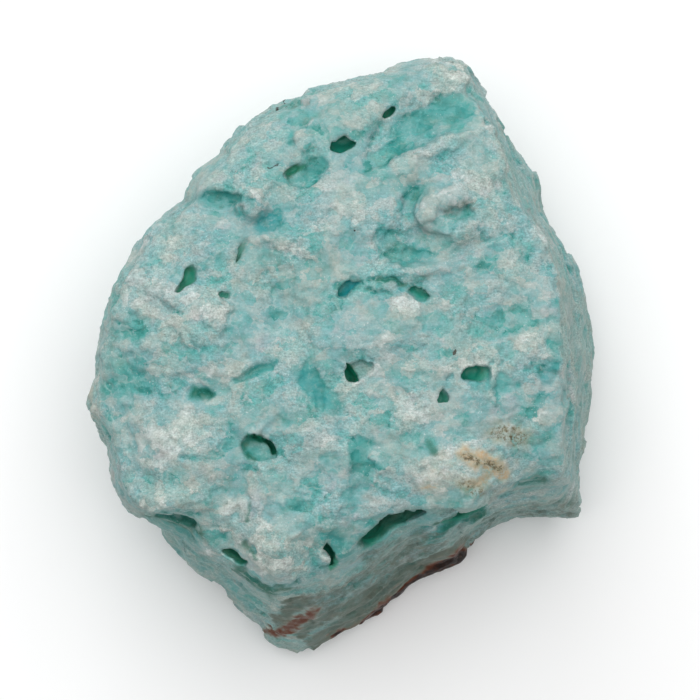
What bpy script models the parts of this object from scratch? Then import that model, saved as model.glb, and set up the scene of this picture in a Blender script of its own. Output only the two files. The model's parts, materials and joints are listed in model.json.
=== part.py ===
"""Raw blue aragonite: one chunk broken from a banded vein, lying on its iron-stained wall side.

The broad broken face looks up. Its beds lie flat, so their broken edges show as bands round the sides, and
the face between them is full of small hollows, slots and open pores left by dissolving. The origin is the
middle of the box's bottom face, +Z is up and +Y runs along the chunk to its blunt point.

Everything is worked in millimetres here and scaled to metres in the last step.
"""

import math

import bmesh
import bpy
import numpy as np
from mathutils import Vector, geometry, noise

METRES_PER_MM = 0.001

# ---- Driving dimensions, mm ------------------------------------------------------------------------------
CHUNK_WIDTH = 66.0  # across the girth, from its left side to its right side
FACE_HEIGHT = 36.0  # the middle of the broad face above the surface it rests on
FOOT_WAIST = 0.35  # share of the foot's inset that is left a third of the way up to the girth
FOOT_ROUNDING = 14.0  # degrees over which the foot evens out the outline's corners
LEAST_RIM_INSET = 0.4
PORE_RISE = 5.0  # how far a pore's cutter stands above the face around its mouth
PORE_BEND = 1 / 6  # how far a pore's outline bows between its points, as a share of the span across them

# How the surfaces are broken: (size across, height) of each layer, mm
BROAD_CHIPS = (7.5, 0.5)
BROAD_BUMPS = (11.0, 0.5)
FINE_CHIPS = (3.2, 0.3)
FINE_BUMPS = (4.5, 0.3)
THICK_BEDS = (1.5, 0.6)
THIN_BEDS = (0.8, 0.3)
BED_STRETCH = (0.12, 0.12, 1.0)  # the beds' broken edges run far along the sides and are thin in height
UNDERSIDE_BUMPS = (7.0, 0.9)
UNDERSIDE_HOLLOW = 0.9
REST_SNAP = 0.08  # points lower than this are set on the resting surface

# Places across the chunk are dots of a plan, counted to the right and down. The plan is in perspective: the
# eye is straight above its middle, so a dot covers more of the chunk where the chunk lies lower.
WIDTH_ON_PLAN = 508  # dots across the girth
PLAN_MIDDLE = (350, 350)
ORIGIN_DOT = (340, 355)  # the dot over the working origin
PLAN_LEVEL = 30.0  # the height at which WIDTH_ON_PLAN dots cover CHUNK_WIDTH
EYE_HEIGHT = 535.0
FACE_LEVEL = 34.0  # the height that the broad face's swellings are placed at

# Resolution of the work: rays round the outline, grain of each remesh, triangles of the finished solid
RAYS = 180
GRAIN = 0.7
FINE_GRAIN = 0.3
TRIANGLES = 9600

# The widest outline of the chunk, as dots of the plan, clockwise from its blunt point.
GIRTH = [
    (448, 57), (463, 65), (480, 88), (512, 152), (536, 177), (542, 212), (580, 274), (589, 325), (588, 340),
    (593, 354), (588, 380), (583, 440), (579, 465), (584, 516), (560, 520), (540, 515), (504, 517),
    (480, 533), (470, 542), (463, 560), (418, 580), (385, 605), (362, 624), (325, 641), (305, 654),
    (273, 646), (262, 625), (232, 600), (218, 581), (184, 561), (145, 516), (133, 513), (113, 482),
    (109, 443), (91, 418), (85, 402), (95, 384), (97, 345), (110, 298), (120, 270), (150, 228), (189, 200),
    (195, 175), (213, 163), (229, 139), (280, 105), (332, 83), (380, 74), (412, 60),
]

# The broken edge of the broad face, in the same way.
RIM = [
    (425, 69), (449, 68), (462, 80), (500, 150), (514, 200), (548, 250), (557, 300), (562, 380), (562, 478),
    (536, 478), (488, 490), (475, 505), (412, 511), (396, 511), (340, 556), (300, 577), (275, 591),
    (250, 575), (213, 546), (196, 522), (150, 513), (128, 498), (117, 460), (98, 402), (105, 385),
    (105, 358), (126, 282), (155, 240), (198, 204), (206, 180), (252, 133), (322, 98), (398, 76),
]

# How the sides change round the chunk: (bearing in degrees from +X, mm), with a smooth run between bearings.
GIRTH_HEIGHT = [
    (-180, 24), (-150, 24), (-141, 22), (-135, 12), (-120, 8), (-105, 4.5), (-80, 4), (-60, 5), (-40, 8),
    (-30, 10), (0, 12), (30, 12.5), (50, 16), (60, 20), (70, 24), (90, 27), (135, 27), (160, 25), (172, 21),
    (180, 24),
]
RIM_HEIGHT = [
    (-180, 32), (-170, 29.5), (-150, 32), (-140, 34), (-125, 31), (-106, 29), (-90, 32), (-75, 34),
    (-45, 34), (-30, 30), (-20, 33.5), (0, 34.5), (30, 34), (50, 34), (65, 31), (72, 30.5), (90, 32),
    (120, 33), (132, 34), (150, 33), (170, 33), (180, 32),
]
FOOT_INSET = [
    (-180, 6), (-150, 5.5), (-135, 3), (-110, 1.5), (-60, 1.2), (-30, 1.5), (0, 2), (40, 3), (70, 5),
    (120, 6.5), (180, 6),
]

# Swellings (+) and hollows (-) of the broad face: the dot of their middle, length and width in mm, turn in
# degrees, height in mm, crispness. A crispness of 1 is a soft swell, and at 4 the edge is steep.
SWELLS = {
    "scoop": ((415, 125), 17.0, 6.4, 33, -2.1, 1.4),
    "scoop_lip": ((416, 155), 13.0, 2.6, 24, 1.0, 1.0),
    "upper_shoulder": ((324, 122), 12.0, 5.5, 22, 0.8, 1.0),
    "arch_hollow": ((312, 175), 4.6, 3.4, 20, -1.2, 1.6),
    "small_knob": ((304, 141), 2.8, 2.6, 0, 0.9, 1.5),
    "left_lobe": ((243, 173), 11.0, 5.6, 32, 1.0, 1.4),
    "under_lobe": ((228, 209), 8.0, 3.4, 4, -1.0, 1.4),
    "cream_knob": ((251, 205), 4.6, 4.2, -10, 2.0, 2.0),
    "nodule": ((455, 215), 10.8, 7.2, -10, 1.7, 1.8),
    "nodule_dimple": ((457, 214), 4.8, 2.6, 12, -1.3, 1.2),
    "moat_west": ((413, 197), 3.0, 6.4, -28, -1.2, 1.2),
    "moat_south": ((404, 246), 9.0, 4.8, -8, -1.2, 1.6),
    "moat_lip": ((433, 268), 13.0, 1.8, 8, 0.7, 1.0),
    "lens": ((300, 240), 6.4, 2.6, -24, 0.9, 1.4),
    "left_swell": ((200, 327), 8.0, 9.6, 10, 1.2, 1.2),
    "mid_trough": ((275, 298), 5.0, 11.0, 12, -1.0, 1.0),
    "centre_swell": ((371, 332), 15.0, 6.0, 5, 0.8, 1.0),
    "blue_facet": ((318, 390), 4.2, 4.6, 30, -0.4, 1.6),
    "blue_vein": ((360, 475), 2.4, 8.6, -12, -0.4, 1.2),
    "left_groove": ((256, 370), 5.4, 1.1, 28, -0.4, 1.0),
    "lower_left_swell": ((180, 444), 10.5, 8.4, 0, 0.9, 1.3),
    "rusty_swell": ((472, 468), 11.0, 7.0, 18, 0.9, 1.2),
    "right_hollow": ((507, 320), 8.0, 9.0, -20, -0.8, 1.0),
    "cream_lump": ((272, 555), 7.8, 8.6, 10, 2.0, 1.8),
    "cream_ridge": ((262, 500), 3.4, 6.4, -8, 0.8, 1.2),
    "south_swell": ((324, 520), 9.0, 5.0, 10, 0.8, 1.2),
    "lower_left_lip": ((173, 501), 11.0, 2.8, 2, 0.8, 1.2),
    "lower_right_step": ((530, 496), 8.0, 2.6, 3, -1.6, 1.5),
}

# Open pores: depth in mm, how far the floor lies off the mouth in x and y in mm, how much the floor rises
# towards the side it leans away from (0 to 1), and the mouth's outline as dots of the plan.
PORES = {
    "eye": (2.6, 0.2, 0.6, 0.0, [
        (330, 149), (334, 142), (345, 136), (356, 142), (355, 146), (340, 152),
    ]),
    "slit": (2.0, -0.3, 0.5, 0.2, [(383, 119), (385, 112), (392, 108), (396, 110), (390, 118)]),
    "arch": (1.3, -0.5, 0.7, 0.9, [
        (286, 178), (291, 168), (301, 167), (315, 158), (322, 165), (303, 189),
    ]),
    "drop": (0.8, 0.2, -0.5, 0.85, [(287, 137), (292, 131), (295, 135), (293, 148), (289, 147)]),
    "blue_notch": (0.7, -0.2, -0.2, 0.55, [
        (256, 224), (264, 215), (273, 208), (280, 210), (284, 225), (262, 229),
    ]),
    "left_slot": (1.6, -0.4, -0.2, 0.8, [(233, 262), (238, 249), (248, 239), (250, 241), (239, 263)]),
    "long_slot": (2.2, -0.5, -0.2, 0.5, [
        (175, 290), (184, 281), (189, 268), (199, 269), (191, 283), (179, 292),
    ]),
    "hook": (1.0, -0.3, -0.3, 0.4, [(216, 291), (224, 292), (232, 293), (225, 301)]),
    "crack_left": (1.6, -0.4, 0.3, 0.6, [
        (340, 297), (341, 289), (350, 282), (366, 281), (356, 290), (346, 297),
    ]),
    "crack_right": (1.6, 0.2, 0.5, 0.5, [(409, 289), (418, 288), (431, 297), (429, 300), (413, 298)]),
    "middle": (3.4, -0.5, -0.3, 0.35, [
        (346, 364), (350, 364), (359, 375), (356, 383), (350, 383), (347, 378),
    ]),
    "right_middle": (2.2, -0.5, 0.2, 0.45, [
        (463, 377), (468, 368), (486, 368), (488, 380), (468, 380),
    ]),
    "right_edge": (0.9, -0.6, 0.1, 0.7, [(541, 375), (545, 369), (557, 366), (552, 377), (543, 382)]),
    "right_slot": (1.8, -0.4, -0.3, 0.6, [(445, 380), (446, 390), (450, 401), (438, 402), (441, 391)]),
    "oval": (1.0, 0.0, 0.0, 0.0, [
        (242, 446), (249, 437), (260, 438), (272, 444), (274, 452), (263, 461), (249, 456),
    ]),
    "oval_gap": (3.0, 0.4, 0.4, 0.0, [
        (252, 436), (262, 438), (272, 444), (274, 453), (270, 451), (263, 444),
    ]),
    "left_notch": (0.8, 0.2, -0.4, 0.4, [(194, 396), (199, 389), (213, 391), (207, 401)]),
    "cave": (5.0, -0.8, 2.4, 0.3, [
        (363, 538), (377, 525), (386, 517), (398, 511), (426, 513), (385, 537), (369, 545),
    ]),
    "hook_cave": (3.5, -0.8, 0.2, 0.2, [
        (321, 547), (327, 542), (332, 551), (337, 562), (333, 567), (329, 558),
    ]),
    "left_undercut": (1.6, 0.0, 1.2, 0.6, [
        (151, 515), (161, 512), (187, 516), (196, 523), (190, 530), (168, 528),
    ]),
    "lump_undercut": (2.6, 0.5, 0.8, 0.3, [(224, 552), (230, 547), (245, 560), (235, 564), (227, 560)]),
    "east_undercut": (2.6, -0.3, 1.8, 0.4, [
        (443, 521), (464, 512), (485, 509), (470, 521), (452, 530), (440, 529),
    ]),
    "east_crack": (1.4, 0.4, 1.0, 0.2, [(441, 522), (445, 523), (442, 534), (435, 537)]),
}

# Small flat spots of the underside that carry the chunk: x, y and radius.
RESTS = [(19.0, 12.0, 5.5), (-17.0, 6.0, 5.5), (12.0, -19.0, 5.5), (-10.0, -27.0, 5.0), (5.0, 24.0, 5.0)]


# ---- Shape helpers ---------------------------------------------------------------------------------------
def smooth(edge0, edge1, values):
    """0 below edge0, 1 above edge1 and a smooth rise between."""
    t = np.clip((values - edge0) / (edge1 - edge0), 0.0, 1.0)
    return t * t * (3.0 - 2.0 * t)


def from_plan(dot, height):
    """The place in mm across the chunk of a dot of the plan, for a point at this height."""
    dot_mm = CHUNK_WIDTH / WIDTH_ON_PLAN
    here_mm = dot_mm * (EYE_HEIGHT - height) / (EYE_HEIGHT - PLAN_LEVEL)
    x = (PLAN_MIDDLE[0] - ORIGIN_DOT[0]) * dot_mm + (dot[0] - PLAN_MIDDLE[0]) * here_mm
    y = (ORIGIN_DOT[1] - PLAN_MIDDLE[1]) * dot_mm + (PLAN_MIDDLE[1] - dot[1]) * here_mm
    return x, y


def outline_in_mm(outline, heights):
    """The outline's places in mm, each at the height that the table gives for its bearing."""
    places = []
    for dot in outline:
        bearing = math.atan2(ORIGIN_DOT[1] - dot[1], dot[0] - ORIGIN_DOT[0])
        places.append(from_plan(dot, around(heights, bearing)))
    return places


def reach(outline, bearing):
    """How far the outline lies from the origin along a bearing in radians."""
    away = Vector((math.cos(bearing), math.sin(bearing)))
    furthest = 0.0
    for i, corner in enumerate(outline):
        a, b = Vector(outline[i - 1]), Vector(corner)
        side = b - a
        across = away.cross(side)
        if abs(across) < 1e-9:
            continue
        distance = a.cross(side) / across
        share = a.cross(away) / across
        if distance > 0.0 and 0.0 <= share <= 1.0:
            furthest = max(furthest, distance)
    return furthest


def rounded_reach(outline, bearing, spread):
    """How far the outline lies from the origin near a bearing, averaged over some degrees either side."""
    turns = [math.radians(spread * step / 4) for step in range(-4, 5)]
    return sum(reach(outline, bearing + turn) for turn in turns) / len(turns)


def around(table, bearing):
    """The value of a table of (degrees, mm) at a bearing in radians."""
    degrees = (math.degrees(bearing) + 180.0) % 360.0 - 180.0
    return float(np.interp(degrees, *zip(*table)))


def noise_at(points, size, seed):
    """Smooth noise from -1 to 1 with bumps about size mm across, at each point."""
    shift = Vector((seed * 7.31, seed * 3.17, seed * 5.53))
    return np.array([noise.noise(Vector(p) / size + shift) for p in points])


def chips_at(points, size, seed):
    """Flat chips about size mm across, each tilted its own way: -1 to 1, with small steps between them."""
    shift = Vector((seed * 2.7, seed * 9.1, seed * 4.3))
    heights = []
    for p in points:
        place = Vector(p) / size + shift
        centre = noise.voronoi(place)[1][0]
        tilt = noise.cell_vector(centre * 17.3) - Vector((0.5, 0.5, 0.5))
        heights.append((place - centre).dot(tilt.normalized()))
    return np.array(heights)


def layer(kind, points, size_and_height, seed):
    """One layer of a broken surface, in mm: chips_at or noise_at at its size, raised to its height."""
    size, height = size_and_height
    return height * kind(points, size, seed)


def oval_distance(points, x, y, length, width, turn):
    """Distance from the middle of a turned oval in plan, 1 on its edge."""
    c, s = math.cos(math.radians(turn)), math.sin(math.radians(turn))
    dx, dy = points[:, 0] - x, points[:, 1] - y
    return np.hypot((dx * c + dy * s) / (length / 2), (dy * c - dx * s) / (width / 2))


def mesh_points(mesh):
    points = np.empty(len(mesh.vertices) * 3)
    mesh.vertices.foreach_get("co", points)
    return points.reshape(-1, 3)


def mesh_normals(mesh):
    return np.array([v.normal for v in mesh.vertices])


def set_points(mesh, points):
    mesh.vertices.foreach_set("co", points.ravel())
    mesh.update()


def bake(obj):
    """Puts what the object's modifiers make into its own mesh."""
    graph = bpy.context.evaluated_depsgraph_get()
    made = bpy.data.meshes.new_from_object(obj.evaluated_get(graph))
    obj.modifiers.clear()
    obj.data = made


def even_out(obj, grain):
    """Remeshes the object as one closed skin of even quads, grain mm across."""
    remesh = obj.modifiers.new("even_grain", "REMESH")
    remesh.mode = "VOXEL"
    remesh.voxel_size = grain
    bake(obj)


# ---- The block that the chunk is shaped from -------------------------------------------------------------
def profile(bearing, girth_line, rim_line):
    """The chunk's section along one bearing, as (distance out, height), from the foot to the broad face."""
    girth, girth_z = reach(girth_line, bearing), around(GIRTH_HEIGHT, bearing)
    rim, rim_z = min(reach(rim_line, bearing), girth - LEAST_RIM_INSET), around(RIM_HEIGHT, bearing)
    foot = rounded_reach(girth_line, bearing, FOOT_ROUNDING) - around(FOOT_INSET, bearing)
    section = [(foot * share, 0.0) for share in (0.25, 0.55, 0.8, 1.0)]
    section.append((girth + (foot - girth) * FOOT_WAIST, girth_z / 3))
    section += [
        (girth + (rim - girth) * out, girth_z + (rim_z - girth_z) * up)
        for out, up in ((0.0, 0.0), (0.33, 0.4), (0.72, 0.78), (1.0, 1.0))
    ]
    for share in (0.9, 0.78, 0.6, 0.4, 0.2):
        section.append((rim * share, rim_z + (FACE_HEIGHT - rim_z) * (1.0 - share**4)))
    return section


def block_rings():
    """Rings of points round the block, one for each place along the profile."""
    girth_line = outline_in_mm(GIRTH, GIRTH_HEIGHT)
    rim_line = outline_in_mm(RIM, RIM_HEIGHT)
    rays = []
    for i in range(RAYS):
        bearing = 2 * math.pi * i / RAYS
        section = profile(bearing, girth_line, rim_line)
        rays.append([(r * math.cos(bearing), r * math.sin(bearing), z) for r, z in section])
    return list(zip(*rays))


def make_block():
    """The closed block between the rings, remeshed to an even grain."""
    shape = bmesh.new()
    rings = [[shape.verts.new(p) for p in ring] for ring in block_rings()]
    for lower, upper in zip(rings, rings[1:]):
        for i in range(RAYS):
            j = (i + 1) % RAYS
            shape.faces.new((lower[i], lower[j], upper[j], upper[i]))
    shape.faces.new(list(reversed(rings[0])))
    shape.faces.new(rings[-1])
    bmesh.ops.recalc_face_normals(shape, faces=shape.faces)
    mesh = bpy.data.meshes.new("raw_blue_aragonite")
    shape.to_mesh(mesh)
    shape.free()
    block = bpy.data.objects.new("raw_blue_aragonite", mesh)
    bpy.context.scene.collection.objects.link(block)
    even_out(block, GRAIN)
    return block


# ---- The broken surfaces ---------------------------------------------------------------------------------
def break_sides(block):
    """Roughens every face: flat chips all over, and the broken edges of the beds round the sides."""
    points, normals = mesh_points(block.data), mesh_normals(block.data)
    side = smooth(0.3, 0.8, 1.0 - np.abs(normals[:, 2]))
    along = points * BED_STRETCH
    broad = layer(chips_at, points, BROAD_CHIPS, 1) + layer(noise_at, points, BROAD_BUMPS, 3)
    fine = layer(chips_at, points, FINE_CHIPS, 2) + layer(noise_at, points, FINE_BUMPS, 4)
    beds = layer(noise_at, along, THICK_BEDS, 5) + layer(noise_at, along, THIN_BEDS, 6)
    set_points(block.data, points + normals * (broad * (1.0 - 0.5 * side) + fine + beds * side)[:, None])


def shape_face(block):
    """Raises the swellings and sinks the hollows of the broad face."""
    points = mesh_points(block.data)
    lift = np.zeros(len(points))
    for dot, length, width, turn, height, crispness in SWELLS.values():
        away = oval_distance(points, *from_plan(dot, FACE_LEVEL), length, width, turn)
        lift += height * np.exp(-(away ** (2.0 * crispness)))
    points[:, 2] += lift * smooth(20.0, 28.0, points[:, 2])
    set_points(block.data, points)


def shape_underside(block):
    """Hollows the underside a little everywhere but at the flat spots that it rests on."""
    points = mesh_points(block.data)
    hollow = UNDERSIDE_HOLLOW + layer(noise_at, points * (1.0, 1.0, 0.0), UNDERSIDE_BUMPS, 8)
    for x, y, radius in RESTS:
        hollow *= smooth(0.8, 1.5, oval_distance(points, x, y, 2 * radius, 2 * radius, 0))
    low = 1.0 - smooth(0.5, 4.0, points[:, 2])
    points[:, 2] += np.clip(hollow, 0.0, None) * low
    rests = np.min([oval_distance(points, x, y, 2 * r, 2 * r, 0) for x, y, r in RESTS], axis=0) < 1.0
    points[rests & (points[:, 2] < 2.5), 2] = 0.0
    points[:, 2] = np.maximum(points[:, 2], 0.0)
    set_points(block.data, points)


def smooth_outline(outline):
    """A closed line that bows smoothly through the outline's points, in short steps."""
    points = [Vector(p) for p in outline]
    line = []
    for i, start in enumerate(points):
        end, after = points[(i + 1) % len(points)], points[(i + 2) % len(points)]
        leave = start + (end - points[i - 1]) * PORE_BEND
        arrive = end - (after - start) * PORE_BEND
        line += geometry.interpolate_bezier(start, leave, arrive, end, 4)[:-1]
    return [Vector(p[:2]) for p in line]


def pore_rings(pore, outline, level):
    """Rings of points down a pore: two straight above the mouth's edge, two narrowing to its floor."""
    depth, lean_x, lean_y, tilt = pore[:4]
    mouth = smooth_outline(outline)
    middle = sum(mouth, Vector((0.0, 0.0))) / len(mouth)
    lean = Vector((lean_x, lean_y))
    away = [(p - middle).dot(lean) for p in mouth]
    furthest = max(map(abs, away)) or 1.0
    rings = [[(p.x, p.y, level + PORE_RISE) for p in mouth]]
    for share, size in ((0.0, 1.0), (0.6, 0.88), (1.0, 0.6)):
        ring = []
        for p, side in zip(mouth, away):
            reached = depth * share * (1.0 - tilt * (0.5 - 0.5 * side / furthest))
            place = middle + (p - middle) * size + lean * share
            ring.append((place.x, place.y, level - reached))
        rings.append(ring)
    return rings


def face_level(tops, outline):
    """The height of the broad face round a pore's mouth."""
    mouth = np.array(outline)
    near = np.hypot(*(tops[:, :2] - mouth.mean(axis=0)).T) < np.ptp(mouth, axis=0).max() / 2 + 0.4
    return float(np.percentile(tops[near, 2], 60))


def make_cutter(name, rings):
    """A closed object between rings of points, wound so that its faces look outwards."""
    shape = bmesh.new()
    rings = [[shape.verts.new(p) for p in ring] for ring in rings]
    for upper, lower in zip(rings, rings[1:]):
        for i in range(len(upper)):
            j = (i + 1) % len(upper)
            shape.faces.new((upper[i], upper[j], lower[j], lower[i]))
    ends = [shape.faces.new(ring) for ring in (rings[0], rings[-1])]
    bmesh.ops.triangulate(shape, faces=ends)
    bmesh.ops.recalc_face_normals(shape, faces=shape.faces)
    mesh = bpy.data.meshes.new(name)
    shape.to_mesh(mesh)
    shape.free()
    return bpy.data.objects.new(name, mesh)


def cut_pores(block):
    """Cuts the open pores into the broad face, each with its own outline, lean and floor."""
    cutters = bpy.data.collections.new("pore_cutters")
    points = mesh_points(block.data)
    tops = points[points[:, 2] > FACE_HEIGHT / 2]
    for name, pore in PORES.items():
        level = face_level(tops, [from_plan(dot, FACE_LEVEL) for dot in pore[4]])
        outline = [from_plan(dot, level) for dot in pore[4]]
        cutters.objects.link(make_cutter(name, pore_rings(pore, outline, level)))
    bpy.context.scene.collection.children.link(cutters)
    cut = block.modifiers.new("pores", "BOOLEAN")
    cut.operation = "DIFFERENCE"
    cut.operand_type = "COLLECTION"
    cut.collection = cutters
    bake(block)
    for cutter in list(cutters.objects):
        bpy.data.objects.remove(cutter)
    bpy.data.collections.remove(cutters)


def finish_solid(block):
    """Thins the mesh where it is plain, sets the rests flat and brings the box to the origin, in metres."""
    even_out(block, FINE_GRAIN)
    block.data.calc_loop_triangles()
    thin = block.modifiers.new("thin", "DECIMATE")
    thin.ratio = TRIANGLES / len(block.data.loop_triangles)
    thin.use_collapse_triangulate = True
    bake(block)
    points = mesh_points(block.data)
    points[points[:, 2] < REST_SNAP, 2] = 0.0
    middle = (points.min(axis=0) + points.max(axis=0)) / 2
    middle[2] = 0.0
    set_points(block.data, (points - middle) * METRES_PER_MM)


# ---- Material --------------------------------------------------------------------------------------------
def aragonite():
    """Massive blue aragonite: pale sea blue, waxy rather than glassy."""
    material = bpy.data.materials.new("blue_aragonite")
    material.use_nodes = True
    surface = material.node_tree.nodes["Principled BSDF"]
    surface.inputs["Base Color"].default_value = (0.26, 0.47, 0.44, 1.0)
    surface.inputs["Roughness"].default_value = 0.55
    surface.inputs["Metallic"].default_value = 0.0
    return material


def main():
    for obj in list(bpy.data.objects):
        bpy.data.objects.remove(obj)
    chunk = make_block()
    break_sides(chunk)
    shape_face(chunk)
    shape_underside(chunk)
    cut_pores(chunk)
    finish_solid(chunk)
    chunk.data.materials.append(aragonite())


main()
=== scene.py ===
"""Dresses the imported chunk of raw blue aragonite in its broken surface, its colours and its light."""

import json
import math

import bpy
import numpy as np
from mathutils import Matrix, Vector, geometry, noise

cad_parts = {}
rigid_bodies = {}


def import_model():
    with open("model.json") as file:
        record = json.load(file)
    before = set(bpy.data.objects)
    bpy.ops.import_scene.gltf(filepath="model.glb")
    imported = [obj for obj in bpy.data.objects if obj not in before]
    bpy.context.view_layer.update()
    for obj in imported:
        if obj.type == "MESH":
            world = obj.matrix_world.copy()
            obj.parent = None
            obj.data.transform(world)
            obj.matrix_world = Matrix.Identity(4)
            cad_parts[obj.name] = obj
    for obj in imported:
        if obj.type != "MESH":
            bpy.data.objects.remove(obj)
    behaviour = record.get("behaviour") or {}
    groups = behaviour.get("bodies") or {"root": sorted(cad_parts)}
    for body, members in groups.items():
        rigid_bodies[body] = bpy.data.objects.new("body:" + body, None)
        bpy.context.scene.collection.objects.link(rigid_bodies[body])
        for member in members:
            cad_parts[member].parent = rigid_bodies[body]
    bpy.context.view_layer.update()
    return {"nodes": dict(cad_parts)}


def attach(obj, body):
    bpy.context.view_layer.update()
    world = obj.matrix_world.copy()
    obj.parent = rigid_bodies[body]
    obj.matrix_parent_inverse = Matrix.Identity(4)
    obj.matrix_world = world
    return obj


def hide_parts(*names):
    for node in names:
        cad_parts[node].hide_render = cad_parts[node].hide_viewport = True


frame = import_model()

# ---- The body of the chunk and its pores -------------------------------------------------------------
# A piece of a banded vein of aragonite, broken out by hammer, into whose broad face water has dissolved
# slots and small caves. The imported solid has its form. Here the pores get clean edges, and the whole
# becomes one closed skin, fine enough to carry the chips, ledges and grain of the broken mineral.
MM = 0.001
SKIN_GRAIN = 0.25 * MM
SKIN_SMOOTHING = 6
SKIN_TRIANGLES = 196000
PORE_EASE = 1.06  # how much wider the finished pores are than the solid's
PORE_RISE = 3.0  # mm that a pore's cutter stands above the face
PORE_BEND = 1 / 6  # how far an outline bows between its points, as a share of the span across them
PORE_CORNERS = 6  # places along each stretch of an outline, with both its ends
PORE_STEPS = ((0.6, 0.92), (1.0, 0.64))  # share of the depth, and the width left there
PORE_CHIP = 0.7  # mm, the size of the chips along a pore's edge
PORE_RAGGED = 0.05  # how far they stand in or out, as a share of the pore's length
CHIP_LAYERS = (0.0, 9.5)  # the layers of noise that move an edge in x and in y
MOUTH_MARGIN = 0.4  # mm round a pore's mouth, within which the height of the face is read
MOUTH_PERCENTILE = 60
PORE_REACH = 8.0  # mm, more than any pore reaches from its middle
FLOOR_MARGIN = 1.0  # mm below a pore's floor that still belong to it
WALL_FADE = (0.05, 0.3)  # mm outside its outline, over which a pore's colour ends
LIP_DEPTH = 0.1  # mm below the face, where its colour starts
FULL_DEPTH = 1.2  # mm below the face, where it is full, at most
FULL_SHARE = 0.6  # the same as a share of the depth, in a shallow pore
EDGE_FADE = (0.4, 1.0)  # mm from its outline, over which a pore's edge passes into the face
EDGE_KEPT = 0.85  # how much of the smoothing a pore's edge is spared
WEIGHT_STEPS = 20

# Places on the broad face are dots of the same plan in perspective that the solid is drawn from, counted
# to the right and down, with the eye straight above its middle.
CHUNK_WIDTH = 66.0  # mm across the girth
WIDTH_ON_PLAN = 508  # dots across the girth
PLAN_MIDDLE = (350, 350)
ORIGIN_DOT = (340, 355)
PLAN_ORIGIN = (-0.58, 0.79)  # mm, where the plan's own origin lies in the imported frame
PLAN_LEVEL = 30.0  # mm, the height at which WIDTH_ON_PLAN dots cover CHUNK_WIDTH
EYE_HEIGHT = 535.0  # mm
DOT_MM = CHUNK_WIDTH / WIDTH_ON_PLAN
FACE_LEVEL = 35.0  # mm, the height that places on the broad face are worked out at

# Each pore: depth in mm, how far its floor lies off its mouth in x and y in mm, how much the floor rises
# towards the side it leans away from, how blue and how deep its colour is, and its outline in dots.
PORES = {
    "eye": (2.6, 0.2, 0.6, 0.0, 0.2, 1.0, [
        (330, 149), (334, 142), (345, 136), (356, 142), (355, 146), (340, 152),
    ]),
    "slit": (2.0, -0.3, 0.5, 0.2, 0.0, 1.0, [
        (383, 119), (385, 112), (392, 108), (396, 110), (390, 118),
    ]),
    "arch_gap": (1.0, 0.3, 0.6, 0.0, 0.0, 0.9, [
        (286, 178), (286, 172), (293, 167), (303, 165), (301, 169), (292, 174),
    ]),
    "left_slot": (1.6, -0.4, -0.2, 0.8, 0.1, 0.7, [
        (233, 262), (238, 249), (248, 239), (250, 241), (239, 263),
    ]),
    "long_slot": (2.2, -0.5, -0.2, 0.5, 0.0, 0.9, [
        (175, 290), (184, 281), (189, 268), (199, 269), (191, 283), (179, 292),
    ]),
    "hook": (1.0, -0.3, -0.3, 0.4, 0.0, 0.6, [
        (216, 291), (224, 292), (232, 293), (225, 301),
    ]),
    "crack_left": (1.6, -0.4, 0.3, 0.6, 1.0, 0.9, [
        (340, 297), (341, 289), (350, 282), (366, 281), (356, 290), (346, 297),
    ]),
    "crack_right": (1.6, 0.2, 0.5, 0.5, 0.2, 0.8, [
        (409, 289), (418, 288), (431, 297), (429, 300), (413, 298),
    ]),
    "middle": (3.4, -0.5, -0.3, 0.35, 0.0, 1.0, [
        (346, 364), (350, 364), (359, 375), (356, 383), (350, 383), (347, 378),
    ]),
    "middle_shelf": (0.9, -0.6, 0.4, 0.5, 0.2, 0.35, [
        (348, 361), (364, 361), (374, 367), (367, 379), (358, 380), (350, 370),
    ]),
    "right_middle": (2.2, -0.5, 0.2, 0.45, 0.1, 0.9, [
        (463, 377), (468, 368), (486, 368), (488, 380), (468, 380),
    ]),
    "right_slot": (1.8, -0.4, -0.3, 0.6, 0.0, 0.8, [
        (445, 380), (446, 390), (450, 401), (438, 402), (441, 391),
    ]),
    "oval": (1.0, 0.0, 0.0, 0.0, 0.4, 0.35, [
        (242, 446), (249, 437), (260, 438), (272, 444), (274, 452), (263, 461), (249, 456),
    ]),
    "oval_gap": (3.0, 0.4, 0.4, 0.0, 0.0, 1.0, [
        (252, 436), (262, 437), (272, 443), (275, 453), (271, 456), (268, 449), (261, 442), (252, 439),
    ]),
    "cave": (5.0, -0.8, 2.4, 0.3, 0.0, 0.75, [
        (362, 539), (371, 528), (380, 521), (387, 514), (400, 511), (424, 512), (386, 538), (369, 546),
    ]),
    "hook_cave": (3.5, -0.8, 0.2, 0.2, 0.0, 0.9, [
        (320, 547), (327, 541), (335, 547), (337, 557), (339, 567), (333, 568), (328, 558),
    ]),
    "lump_undercut": (2.6, 0.5, 0.8, 0.3, 0.0, 0.9, [
        (221, 550), (229, 547), (238, 553), (247, 563), (239, 565), (228, 559),
    ]),
    "east_undercut": (2.6, -0.3, 1.8, 0.4, 0.1, 0.8, [
        (443, 521), (464, 512), (485, 509), (470, 521), (452, 530), (440, 529),
    ]),
}


def select_only(obj):
    bpy.ops.object.select_all(action="DESELECT")
    obj.select_set(True)
    bpy.context.view_layer.objects.active = obj


def apply_all(obj):
    select_only(obj)
    for modifier in list(obj.modifiers):
        bpy.ops.object.modifier_apply(modifier=modifier.name)


def points_of(obj):
    points = np.empty(len(obj.data.vertices) * 3, np.float32)
    obj.data.vertices.foreach_get("co", points)
    return points.reshape(-1, 3).astype(float) / MM


def move_points(obj, points):
    obj.data.vertices.foreach_set("co", (points * MM).astype(np.float32).ravel())
    obj.data.update()


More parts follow.
